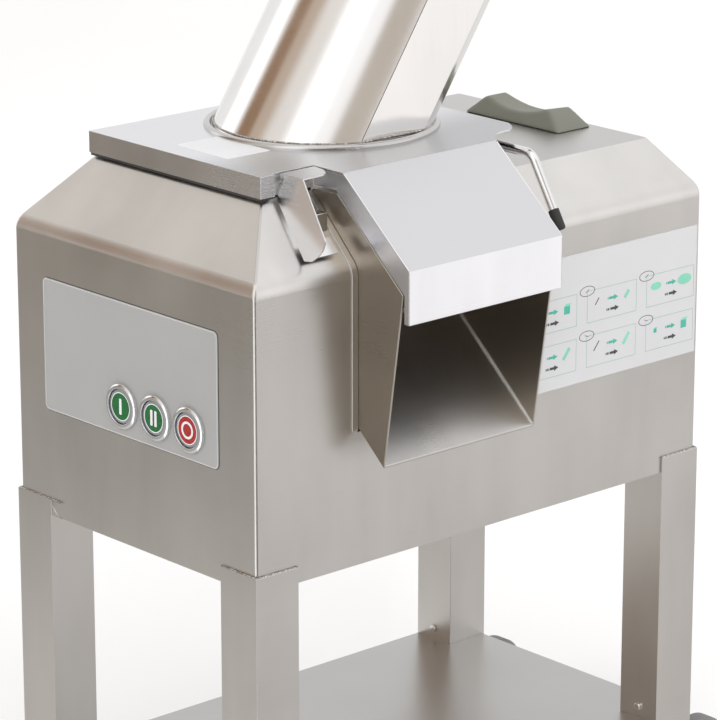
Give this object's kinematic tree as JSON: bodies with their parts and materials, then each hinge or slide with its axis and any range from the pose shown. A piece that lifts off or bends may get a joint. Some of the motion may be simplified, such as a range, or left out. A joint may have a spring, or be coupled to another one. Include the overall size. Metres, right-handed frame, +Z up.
{
  "type": "vegetable dicer",
  "caption": "Floor-standing stainless vegetable dicer with a hinged lid, an inclined feed tube with loading tray, a discharge chute and transport wheels.",
  "frame": {"origin": "on the floor, straight below the middle of the housing", "axes": "+X from the control panel towards the transport wheels, -Y the side of the discharge chute, +Z up"},
  "size_m": [0.7125, 0.473, 1.16],
  "materials": {
    "body_steel": "warm satin-brushed stainless steel",
    "lid_steel": "cool fine-brushed stainless steel",
    "bright_steel": "polished stainless steel",
    "cast_alloy": "as cast",
    "motor_paint": "semi-gloss",
    "motor_iron": "laminated and varnished",
    "bezel_chrome": "satin chrome",
    "panel_grey": "printed film, light grey with a white border",
    "label_white": "printed film, white with grey boxes and green shapes",
    "button_green": "gloss",
    "button_red": "gloss",
    "black_plastic": "matte",
    "white_plastic": "satin",
    "black_rubber": "matte",
    "grey_rubber": "matte grey-green",
    "grey_tyre": "matte"
  },
  "bodies": {
    "stand": {"housing_shell": "body_steel", "base_plate": "body_steel", "plate_screws": "bright_steel", "leg_front_chute": "body_steel", "leg_front_back": "body_steel", "leg_rear_chute": "body_steel", "leg_rear_back": "body_steel", "leg_feet": "black_rubber", "shelf": "body_steel", "wheel_forks": "body_steel", "wheel_axles": "bright_steel", "control_plate": "panel_grey", "button_bezels": "bezel_chrome", "switch_blocks": "black_plastic", "guide_label": "label_white", "cutting_bowl": "cast_alloy", "discharge_chute": "lid_steel", "chute_strips": "body_steel", "hinge_brackets": "lid_steel", "latch_catch": "bright_steel", "deck_gasket": "black_rubber", "saddle_bumper": "grey_rubber", "electrical_box": "black_plastic", "cable_gland": "black_plastic", "lid_switch": "black_plastic", "bearing_housing": "cast_alloy", "shaft_bearings": "bright_steel", "motor_casing": "motor_paint", "motor_end_caps": "motor_paint", "motor_stator": "motor_iron", "motor_mount": "body_steel", "drive_belt": "black_rubber"},
    "lid": {"lid_plate": "lid_steel", "chute_cover": "lid_steel", "feed_tube": "bright_steel", "weld_ring": "bright_steel", "loading_tray": "lid_steel", "tray_rim": "bright_steel", "lid_lugs": "lid_steel", "lid_magnet": "bright_steel", "latch_pin": "bright_steel"},
    "hinge_pin": {"hinge_rod": "bright_steel", "rod_cap": "black_rubber"},
    "latch": {"latch_lever": "lid_steel"},
    "start": {"start_button": "button_green"},
    "pulse": {"pulse_button": "button_green"},
    "stop": {"stop_button": "button_red"},
    "cutter": {"disc_shaft": "bright_steel", "driven_pulley": "cast_alloy", "ejector_disc": "white_plastic", "cutting_disc": "bright_steel", "disc_blades": "bright_steel", "disc_knob": "black_plastic"},
    "rotor": {"motor_rotor": "motor_iron", "drive_pulley": "cast_alloy", "motor_fan": "black_plastic"},
    "wheel_chute": {"wheel_chute_tyre": "grey_tyre", "wheel_chute_hub": "white_plastic"},
    "wheel_back": {"wheel_back_tyre": "grey_tyre", "wheel_back_hub": "white_plastic"}
  },
  "joints": [
    {"name": "lid_hinge", "type": "hinge", "parent": "stand", "child": "lid", "pos_m": [0.0695, 0, 0.772], "axis": [0, 1, 0], "range_deg": [0, 64.1]},
    {"name": "hinge_pin_slide", "type": "slide", "parent": "stand", "child": "hinge_pin", "axis": [0, -1, 0], "range_m": [0, 0.24]},
    {"name": "latch_hinge", "type": "hinge", "parent": "lid", "child": "latch", "pos_m": [-0.207, -0.133, 0.783], "axis": [-1, 0, 0], "range_deg": [0, 45]},
    {"name": "start_press", "type": "slide", "parent": "stand", "child": "start", "axis": [1, 0, 0], "range_m": [0, 0.003], "stiffness_N_per_m": 800, "springref_m": -0.002},
    {"name": "pulse_press", "type": "slide", "parent": "stand", "child": "pulse", "axis": [1, 0, 0], "range_m": [0, 0.003], "stiffness_N_per_m": 800, "springref_m": -0.002},
    {"name": "stop_press", "type": "slide", "parent": "stand", "child": "stop", "axis": [1, 0, 0], "range_m": [0, 0.003], "stiffness_N_per_m": 800, "springref_m": -0.002},
    {"name": "motor_spin", "type": "hinge", "parent": "stand", "child": "rotor", "pos_m": [0.1875, 0.0075, 0.55], "axis": [0, 0, 1], "continuous": true},
    {"name": "cutter_spin", "type": "hinge", "parent": "stand", "child": "cutter", "pos_m": [-0.051, 0.0075, 0.6], "axis": [0, 0, 1], "continuous": true},
    {"name": "wheel_chute_spin", "type": "hinge", "parent": "stand", "child": "wheel_chute", "pos_m": [0.3565, -0.1649, 0.0375], "axis": [0, 1, 0], "continuous": true},
    {"name": "wheel_back_spin", "type": "hinge", "parent": "stand", "child": "wheel_back", "pos_m": [0.3565, 0.1649, 0.0375], "axis": [0, 1, 0], "continuous": true}
  ],
  "couplings": [
    {"joint": "cutter_spin", "follows": "motor_spin", "ratio": 0.4}
  ]
}
